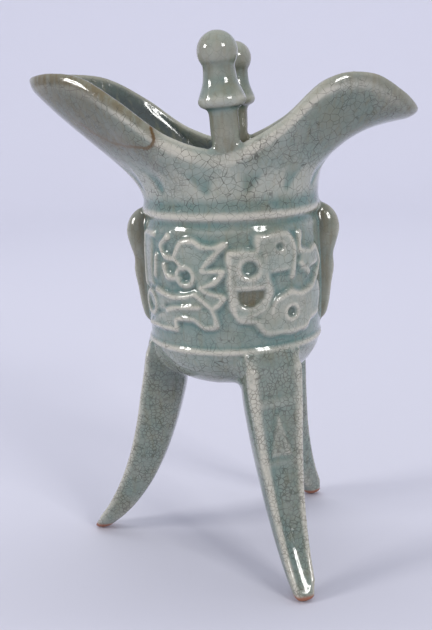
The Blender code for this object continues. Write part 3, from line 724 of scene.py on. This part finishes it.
def joint_weight(p):
    """1 where legs, posts and ears grow out of the bowl, so that the glaze fills the corner."""
    x, y, z = p.T
    radius = np.hypot(x, y)
    azimuth = np.degrees(np.arctan2(y, x))
    profile = outer_bottom()
    surface_z = np.interp(radius, profile[:, 0], profile[:, 1], right=LOW_RIDGE_Z)
    surface_r = np.interp(z, profile[:, 1], profile[:, 0])
    off = np.minimum(np.abs(z - surface_z), np.abs(radius - surface_r))
    near_leg = np.zeros_like(x)
    for hip, _, _ in LEGS:
        turn = np.abs((azimuth - hip + 180) % 360 - 180)
        near_leg = np.maximum(near_leg, 1 - smooth(36, 46, turn))
    weight = near_leg * (1 - smooth(2.0, 4.6, off)) * smooth(54, 58, z)
    weight *= 1 - smooth(72.5, 74.5, z)
    for side, shift, _, _ in POSTS:
        reach = np.sqrt((x - shift) ** 2 + (y - side * (MOUTH_HALF_WIDTH - POST_INSET)) ** 2
                        + ((z - RIM_LOW_Z - 1.8) * 1.3) ** 2)
        weight = np.maximum(weight, 0.35 * (1 - smooth(5.0, 7.0, reach)))
    weight = np.maximum(weight, 0.4 * (1 - smooth(2.5, 6.0, z)))
    ear = 1 - smooth(4.5, 6.5, np.abs(y))
    ear *= 1 - smooth(0.9, 2.2, np.abs(radius - BODY_RADIUS - 0.4))
    ear = ear * smooth(77, 79, z) * (1 - smooth(119, 121, z))
    return np.maximum(weight, ear * 0.12)


def blend_nearest(points, sources, values, near=4):
    """Values at points, from the nearest few sources, nearer ones counting more."""
    tree = KDTree(len(sources))
    for i, p in enumerate(sources.tolist()):
        tree.insert(p, i)
    tree.balance()
    picks = np.empty((len(points), near), int)
    away = np.empty((len(points), near))
    for row, p in enumerate(points.tolist()):
        for k, (_, index, distance) in enumerate(tree.find_n(p, near)):
            picks[row, k], away[row, k] = index, distance
    weight = 1 / (away + 0.05)
    weight /= weight.sum(1, keepdims=True)
    return (values[picks] * weight[..., None]).sum(1)


def melt():
    """The whole cup as one mesh in millimetres, with its normals and marks."""
    lofts = [make_vessel()] + [make_post(*post) for post in POSTS]
    lofts += [make_ear(1), make_ear(-1)] + [make_leg(*leg) for leg in LEGS]
    verts, faces, marks, start = [], [], [], 0
    for loft in lofts:
        v, quads, caps, m = loft.arrays()
        verts.append(v)
        marks.append(m)
        faces += (quads + start).tolist() + (caps + start).tolist()
        start += len(v)
    verts, marks = np.concatenate(verts), np.concatenate(marks)
    raw = new_mesh("lofts", verts, faces)
    skin = with_modifier(raw, "REMESH", mode="VOXEL", voxel_size=VOXEL, adaptivity=0.0)
    co, pairs = positions(skin), edges_of(skin)
    co = relax(co, pairs, 0.5, SKIN_PASSES)
    co = relax(co, pairs, 0.8 * joint_weight(co), JOINT_PASSES)
    skin.vertices.foreach_set("co", co.ravel())
    skin.update()
    normals = vertex_normals(skin)
    blurred = relax(co, pairs, 0.7, BLUR_PASSES)
    bulge = ((co - blurred) * normals).sum(1)
    triangles = sum(len(p.vertices) - 2 for p in skin.polygons)
    light = with_modifier(skin, "DECIMATE", ratio=TRIANGLES / triangles)
    points = positions(light)
    fine = blend_nearest(points, co, np.concatenate([normals, bulge[:, None]], 1))
    carried = blend_nearest(points, verts, marks)
    return light, unit(fine[:, :3]), fine[:, 3], carried


def make_cup():
    """The finished piece: the melted mesh with its marks, normals and glaze."""
    mesh, normals, bulge, marks = melt()
    mesh.name = "wine_cup_glazed"
    for polygon in mesh.polygons:
        polygon.use_smooth = True
    points = positions(mesh)
    for name, values in zip(MARKS, marks.T):
        layer = mesh.attributes.new(name, "FLOAT", "POINT")
        layer.data.foreach_set("value", values.astype(np.float32))
    layer = mesh.attributes.new("bulge", "FLOAT", "POINT")
    layer.data.foreach_set("value", bulge.astype(np.float32))
    points[:, 2] = np.maximum(points[:, 2], 0.0)
    mesh.vertices.foreach_set("co", ((points + AXIS) * MM).ravel())
    mesh.update()
    mesh.normals_split_custom_set_from_vertices(normals.tolist())
    cup = bpy.data.objects.new("glazed_wine_cup", mesh)
    bpy.context.scene.collection.objects.link(cup)
    cup.data.materials.clear()
    cup.data.materials.append(make_glaze())
    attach(cup, "root")
    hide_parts("wine_cup")


# Materials

class Nodes:
    """Short hand for building a node tree."""

    def __init__(self, material):
        material.use_nodes = True
        self.tree = material.node_tree
        self.tree.nodes.clear()

    def add(self, kind, **settings):
        node = self.tree.nodes.new(kind)
        for name, value in settings.items():
            setattr(node, name, value)
        return node

    def link(self, source, target):
        self.tree.links.new(source, target)
        return target

    def feed(self, socket, value):
        if isinstance(value, bpy.types.NodeSocket):
            self.link(value, socket)
        else:
            socket.default_value = value

    def math(self, operation, *values, clamp=False):
        node = self.add("ShaderNodeMath", operation=operation, use_clamp=clamp)
        for socket, value in zip(node.inputs, values):
            self.feed(socket, value)
        return node.outputs[0]

    def attribute(self, name):
        return self.add("ShaderNodeAttribute", attribute_name=name).outputs["Fac"]

    def step(self, value, low, high, start=0.0, end=1.0):
        node = self.add("ShaderNodeMapRange", interpolation_type="SMOOTHSTEP", clamp=True)
        for socket, given in zip(node.inputs, (value, low, high, start, end)):
            self.feed(socket, given)
        return node.outputs[0]

    def mix(self, amount, a, b):
        node = self.add("ShaderNodeMix", data_type="RGBA", clamp_factor=True)
        self.feed(node.inputs[0], amount)
        self.feed(node.inputs[6], a)
        self.feed(node.inputs[7], b)
        return node.outputs[2]

    def noise(self, vector, scale, detail=3.0, rough=0.55, colour=False):
        node = self.add("ShaderNodeTexNoise")
        self.feed(node.inputs["Vector"], vector)
        self.feed(node.inputs["Scale"], scale)
        self.feed(node.inputs["Detail"], detail)
        self.feed(node.inputs["Roughness"], rough)
        return node.outputs["Color" if colour else "Fac"]

    def cracks(self, vector, scale):
        node = self.add("ShaderNodeTexVoronoi", feature="DISTANCE_TO_EDGE")
        self.feed(node.inputs["Vector"], vector)
        self.feed(node.inputs["Scale"], scale)
        return node.outputs["Distance"]


def colour(red, green, blue):
    """A colour as seen on screen, 0 to 255, as a linear one."""
    def linear(c):
        c = c / 255
        return c / 12.92 if c <= 0.04045 else ((c + 0.055) / 1.055) ** 2.4
    return (linear(red), linear(green), linear(blue), 1.0)


GLAZE = colour(140, 152, 142)
GLAZE_GREY = colour(149, 154, 143)
GLAZE_POOLED = colour(96, 126, 119)
GLAZE_DEEP = colour(58, 76, 70)
GLAZE_THIN = colour(202, 198, 182)
# The colour of painted shade, inside the cup, under the flares and at the ears' roots
PAINTED_SHADE_GLAZE = colour(52, 58, 59)
GLAZE_RUN = colour(122, 122, 96)
GLAZE_OLIVE = colour(100, 89, 58)
CRACK = colour(56, 53, 42)
RUST = colour(92, 66, 22)
BISCUIT = colour(150, 94, 68)
WIDE_CRACKLE = 440.0            # cells to a metre, on the bowl
SMALL_CRACKLE = 700.0           # and on the legs
CRACKLE_WARP = 0.0022


def make_glaze():
    """Crackled celadon: pale where it is thin, green where it pools, bare at the soles."""
    material = bpy.data.materials.new("celadon_crackle_glaze")
    n = Nodes(material)
    shader = n.add("ShaderNodeBsdfPrincipled")
    output = n.add("ShaderNodeOutputMaterial")
    n.link(shader.outputs[0], output.inputs[0])
    place = n.add("ShaderNodeTexCoord").outputs["Object"]
    height = n.add("ShaderNodeSeparateXYZ")
    n.link(place, height.inputs[0])
    z = height.outputs[2]

    # Marks and clouds, then how thin or deep the glaze lies
    bulge = n.attribute("bulge")
    pool = n.attribute("pool")
    pale = n.attribute("pale")
    olive = n.attribute("olive")
    dark = n.attribute("dark")
    cloud = n.noise(place, 95.0)
    fine_cloud = n.noise(place, 420.0)

    thin = n.math("ADD", n.math("MULTIPLY", n.step(bulge, 0.0, 0.16), 0.55),
                  n.math("MULTIPLY", pale, 0.7))
    thin = n.math("MULTIPLY", thin, n.step(cloud, 0.2, 0.65, 0.6, 1.05))
    thin = n.math("MULTIPLY", thin, n.step(olive, 0.1, 0.9, 1.0, 0.15), clamp=True)
    deep = n.math("ADD", n.math("MULTIPLY", n.step(bulge, 0.0, -0.12), 0.55),
                  n.math("MULTIPLY", pool, 0.7))
    deep = n.math("MULTIPLY", deep, n.step(cloud, 0.3, 0.7, 1.1, 0.6), clamp=True)

    # Colour, from the body of the glaze to its runs and thin edges
    base = n.mix(n.step(cloud, 0.35, 0.7), GLAZE, GLAZE_GREY)
    base = n.mix(n.math("MULTIPLY", n.step(fine_cloud, 0.4, 0.8), 0.4), base, GLAZE_POOLED)
    base = n.mix(deep, base, GLAZE_POOLED)
    base = n.mix(n.step(bulge, -0.10, -0.26, 0.0, 0.7), base, GLAZE_DEEP)
    # Painted shade: deeper inside the cup, on the flares' outsides near their tips and at the ears'
    # roots
    base = n.mix(n.math("MULTIPLY", dark, 0.85), base, PAINTED_SHADE_GLAZE)
    stretch = n.add("ShaderNodeMapping")
    stretch.inputs["Scale"].default_value = (1.0, 1.0, 0.14)
    n.link(place, stretch.inputs["Vector"])
    runs = n.noise(stretch.outputs[0], 520.0, 2.0)
    base = n.mix(n.step(runs, 0.52, 0.72, 0.0, 0.35), base, GLAZE_RUN)
    browned = n.step(n.noise(place, 62.0, 4.0, 0.65), 0.48, 0.68, 0.0, 0.4)
    base = n.mix(browned, base, GLAZE_RUN)
    base = n.mix(n.math("MULTIPLY", olive, n.step(runs, 0.3, 0.65, 0.6, 1.0)), base, GLAZE_OLIVE)
    base = n.mix(n.math("MINIMUM", thin, 0.85), base, GLAZE_THIN)

    # Crackle: wide cells on the bowl, small ones on the legs
    crackle = n.attribute("crackle")
    warp = n.add("ShaderNodeVectorMath", operation="MULTIPLY_ADD")
    n.link(n.noise(place, 160.0, colour=True), warp.inputs[0])
    warp.inputs[1].default_value = (CRACKLE_WARP, CRACKLE_WARP, CRACKLE_WARP)
    n.link(place, warp.inputs[2])
    warped = warp.outputs[0]
    wide = n.step(n.cracks(warped, WIDE_CRACKLE), 0.012, 0.045, 1.0, 0.0)
    wide = n.math("MULTIPLY", wide, n.step(crackle, 0.7, 0.95, 1.0, 0.4))
    small = n.step(n.cracks(warped, SMALL_CRACKLE), 0.03, 0.12, 1.0, 0.0)
    patches = n.step(n.noise(place, 70.0, 1.0), 0.42, 0.6)
    small = n.math("MULTIPLY", small, n.math("MAXIMUM", n.step(crackle, 0.6, 0.95),
                                              n.math("MULTIPLY", patches, 0.55)))
    lines = n.math("MAXIMUM", wide, n.math("MULTIPLY", small, 0.75))
    lines = n.math("MULTIPLY", lines, n.step(crackle, 0.0, 0.6, 0.12, 0.76))
    faded = n.math("MULTIPLY", lines, n.step(n.noise(place, 240.0, 2.0), 0.3, 0.6, 0.2, 0.95))
    base = n.mix(faded, base, CRACK)

    # The rust line and the bare clay of the soles
    away = n.math("ADD", n.attribute("rust"), n.step(fine_cloud, 0.3, 0.7, -0.3, 0.3))
    away = n.math("ABSOLUTE", away)
    rust = n.math("ADD", n.step(away, 0.25, 0.85, 0.72, 0.0), n.step(away, 0.4, 3.0, 0.24, 0.0))
    base = n.mix(n.math("MULTIPLY", rust, n.attribute("rusty")), base, RUST)
    bare = n.step(n.math("ADD", z, n.math("MULTIPLY", cloud, 0.0018)), *BARE_FOOT, 1.0, 0.0)
    base = n.mix(bare, base, BISCUIT)
    n.link(base, shader.inputs["Base Color"])

    # Gloss and a slightly uneven surface
    rough = n.step(fine_cloud, 0.3, 0.7, 0.06, 0.11)
    rough = n.math("ADD", rough, n.math("MULTIPLY", bare, 0.6))
    n.link(rough, shader.inputs["Roughness"])
    shader.inputs["IOR"].default_value = 1.52
    shader.inputs["Coat Weight"].default_value = 0.35
    shader.inputs["Coat Roughness"].default_value = 0.03

    bump = n.add("ShaderNodeBump")
    bump.inputs["Strength"].default_value = 0.25
    bump.inputs["Distance"].default_value = 0.0003
    skin = n.math("SUBTRACT", n.noise(place, 130.0, 2.0), n.math("MULTIPLY", faded, 0.25))
    n.link(skin, bump.inputs["Height"])
    n.link(bump.outputs[0], shader.inputs["Normal"])
    return material


# Stage, lights and camera

CAMERA_PLACE = (25.5, -309.7, 155.7)    # from the body's axis and the ground
CAMERA_YAW = -0.103
CAMERA_PITCH = 0.234
CAMERA_ROLL = -0.041
SENSOR = 36
CAMERA_FOCAL = 941.9 / 630 * SENSOR
GROUND = colour(200, 200, 211)
FLOOR_RADIUS = 0.9              # in metres, as all of the stage
SWEEP_BEND = 0.5
SWEEP_TOP = 0.95
SWEEP_COLUMNS = 72
AIM_HEIGHT = 0.1                # the lamps face the cup at this height
WARM_WHITE = (1.0, 0.99, 0.96)
COOL_WHITE = (0.96, 0.97, 1.0)
SKY = (0.88, 0.90, 1.0, 1.0)


def make_camera():
    """A camera at the photograph's place and angle."""
    data = bpy.data.cameras.new("camera")
    camera = bpy.data.objects.new("camera", data)
    bpy.context.scene.collection.objects.link(camera)
    yaw, pitch, roll = CAMERA_YAW, CAMERA_PITCH, CAMERA_ROLL
    ahead = Vector((math.sin(yaw) * math.cos(pitch), math.cos(yaw) * math.cos(pitch),
                    -math.sin(pitch)))
    right = Vector((math.cos(yaw), -math.sin(yaw), 0))
    up = right.cross(ahead)
    x = math.cos(roll) * right + math.sin(roll) * up
    y = -math.sin(roll) * right + math.cos(roll) * up
    place = (Vector(CAMERA_PLACE) + Vector(AXIS)) * MM
    camera.matrix_world = Matrix([(x[i], y[i], -ahead[i], place[i]) for i in range(3)]
                                 + [(0, 0, 0, 1)])
    data.sensor_width = SENSOR
    data.lens = CAMERA_FOCAL
    data.clip_start = 0.01
    bpy.context.scene.camera = camera


def make_sweep():
    """A pale floor that curves up into a low wall all around."""
    profile = [(FLOOR_RADIUS * 0.9, 0.0), (FLOOR_RADIUS, 0.0)]
    for step in range(1, 13):
        a = math.radians(step * 7.5)
        profile.append((FLOOR_RADIUS + SWEEP_BEND * math.sin(a), SWEEP_BEND * (1 - math.cos(a))))
    profile.append((FLOOR_RADIUS + SWEEP_BEND, SWEEP_TOP))
    turns = [2 * math.pi * k / SWEEP_COLUMNS for k in range(SWEEP_COLUMNS)]
    verts = [(r * math.cos(a), r * math.sin(a), z) for r, z in profile for a in turns]
    faces = [tuple(range(SWEEP_COLUMNS))]
    for i in range(len(profile) - 1):
        for k in range(SWEEP_COLUMNS):
            a, b = i * SWEEP_COLUMNS + k, i * SWEEP_COLUMNS + (k + 1) % SWEEP_COLUMNS
            faces.append((a, a + SWEEP_COLUMNS, b + SWEEP_COLUMNS, b))
    mesh = new_mesh("floor", verts, faces)
    for polygon in mesh.polygons:
        polygon.use_smooth = True
    floor = bpy.data.objects.new("floor", mesh)
    bpy.context.scene.collection.objects.link(floor)
    material = bpy.data.materials.new("floor")
    n = Nodes(material)
    shader = n.add("ShaderNodeBsdfPrincipled")
    output = n.add("ShaderNodeOutputMaterial")
    n.link(shader.outputs[0], output.inputs[0])
    shader.inputs["Base Color"].default_value = GROUND
    shader.inputs["Roughness"].default_value = 0.85
    floor.data.materials.append(material)


def make_light(name, azimuth, elevation, distance, width, height, power, tint, aside=(0.0, 0.0)):
    """A soft rectangular lamp that faces the cup; azimuth counts from the front, to the right."""
    data = bpy.data.lights.new(name, "AREA")
    data.shape = "RECTANGLE"
    data.size = width
    data.size_y = height
    data.energy = power
    data.color = tint
    lamp = bpy.data.objects.new(name, data)
    bpy.context.scene.collection.objects.link(lamp)
    a, e = math.radians(azimuth), math.radians(elevation)
    way = Vector((math.sin(a) * math.cos(e), -math.cos(a) * math.cos(e), math.sin(e)))
    turn = way.to_track_quat("Z", "Y")
    lamp.location = Vector((0, 0, AIM_HEIGHT)) + way * distance + turn @ Vector((*aside, 0))
    lamp.rotation_euler = turn.to_euler()
    return lamp


def make_softbox(name, azimuth, elevation, distance, size, power, tint):
    """Four strips in a square ring, as a softbox with an unlit middle."""
    strip = size * 0.3
    off = (size - strip) / 2
    for k, (x, y) in enumerate([(0, off), (0, -off), (off, 0), (-off, 0)]):
        width, height = (size, strip) if y else (strip, size - 2 * strip)
        make_light(f"{name}_{k}", azimuth, elevation, distance, width, height,
                   power * width * height / (size * size), tint, (x, y))


def make_lamp_top():
    """A broad lamp high above, too soft to show in the glaze."""
    lamp = make_light("lamp_top", 170, 72, 1.3, 1.4, 1.4, 4.5, COOL_WHITE)
    lamp.visible_glossy = False


def make_backdrop_lamp():
    """A wide lamp above the cup, turned to the backdrop."""
    lamp = make_light("lamp_backdrop", 0, 70, 1.0, 1.6, 0.4, 11.5, COOL_WHITE)
    lamp.location = (0, 0.25, 1.35)
    lamp.rotation_euler = (math.radians(62), 0, 0)
    lamp.visible_glossy = False


def make_world():
    """A plain pale sky all around."""
    world = bpy.data.worlds.new("studio")
    bpy.context.scene.world = world
    world.use_nodes = True
    background = world.node_tree.nodes["Background"]
    background.inputs["Color"].default_value = SKY
    background.inputs["Strength"].default_value = 0.56


make_cup()
make_sweep()
make_softbox("softbox_right", 43, 28, 1.0, 0.24, 4.5, WARM_WHITE)
make_softbox("softbox_left", -69, 24, 1.0, 0.24, 4.7, WARM_WHITE)
make_lamp_top()
make_backdrop_lamp()
make_world()
make_camera()
bpy.context.scene.view_settings.view_transform = "Standard"
